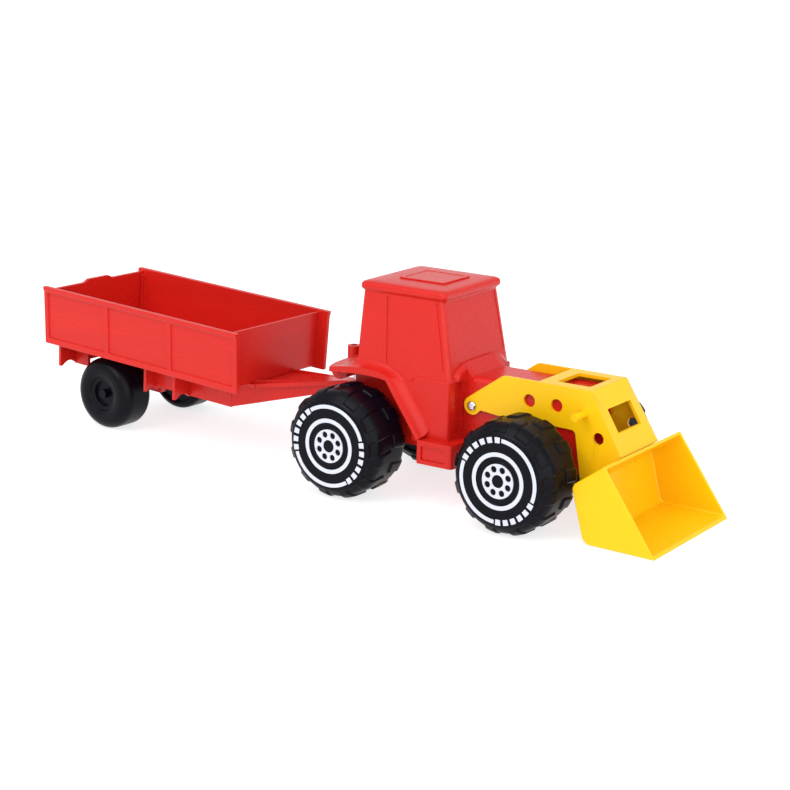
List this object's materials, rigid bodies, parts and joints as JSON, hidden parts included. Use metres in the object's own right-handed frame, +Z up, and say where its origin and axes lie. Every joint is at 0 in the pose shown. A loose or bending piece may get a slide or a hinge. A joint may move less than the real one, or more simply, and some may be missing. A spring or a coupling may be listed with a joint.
{
  "type": "toy tractor with front loader and trailer",
  "caption": "Sandpit toy tractor with a lifting front loader, tilting bucket, rolling wheels and a towed open trailer with a lift-out tailgate.",
  "frame": {"origin": "centre of the overall bounding box, on the ground", "axes": "+X from the trailer to the bucket, +Y to the tractor's left, +Z up; the trailer stands slightly yawed behind the tractor"},
  "size_m": [0.5551, 0.159, 0.1545],
  "materials": {
    "red": "gloss moulded plastic",
    "yellow": "gloss moulded plastic",
    "black": "satin moulded plastic",
    "white": "gloss plastic and print",
    "steel": "bright zinc-plated steel"
  },
  "bodies": {
    "tractor": {"body": "red", "chassis": "red", "loader_pin": "steel", "hitch_pin": "steel"},
    "rear_wheels": {"rear_axle": "steel", "rear_axle_caps": "black", "tyre_rear_right": "black", "tyre_rear_left": "black", "hub_rear_right": "white", "hub_rear_left": "white", "print_rear_right": "white", "print_rear_left": "white"},
    "front_wheels": {"front_axle": "steel", "front_axle_caps": "black", "tyre_front_right": "black", "tyre_front_left": "black", "hub_front_right": "white", "hub_front_left": "white", "print_front_right": "white", "print_front_left": "white"},
    "loader": {"loader_frame": "yellow"},
    "bucket": {"bucket": "yellow", "bucket_pin": "steel"},
    "trailer": {"trailer_chassis": "red", "trailer_box": "red"},
    "tailgate": {"tailgate": "red"},
    "trailer_wheels": {"trailer_axle": "steel", "trailer_axle_caps": "black", "trailer_wheel_right": "black", "trailer_wheel_left": "black"}
  },
  "joints": [
    {"name": "rear_wheels_roll", "type": "hinge", "parent": "tractor", "child": "rear_wheels", "pos_m": [0.0311, 0, 0.04], "axis": [0, 1, 0], "continuous": true},
    {"name": "front_wheels_roll", "type": "hinge", "parent": "tractor", "child": "front_wheels", "pos_m": [0.1701, 0, 0.04], "axis": [0, 1, 0], "continuous": true},
    {"name": "loader_lift", "type": "hinge", "parent": "tractor", "child": "loader", "pos_m": [0.1155, 0, 0.0724], "axis": [0, -1, 0], "range_deg": [0, 45]},
    {"name": "bucket_tilt", "type": "hinge", "parent": "loader", "child": "bucket", "pos_m": [0.2096, 0, 0.0325], "axis": [0, 1, 0], "range_deg": [0, 50]},
    {"name": "hitch_yaw", "type": "hinge", "parent": "tractor", "child": "trailer", "pos_m": [0.0001, 0, 0.066], "axis": [0, 0, 1], "range_deg": [-40, 40]},
    {"name": "tailgate_lift", "type": "slide", "parent": "trailer", "child": "tailgate", "axis": [0.0418, -0.0021, 0.9991], "range_m": [0, 0.045]},
    {"name": "trailer_wheels_roll", "type": "hinge", "parent": "trailer", "child": "trailer_wheels", "pos_m": [-0.21936, 0.01112, 0.0284], "axis": [0.0506, 0.9987, 0], "continuous": true}
  ]
}
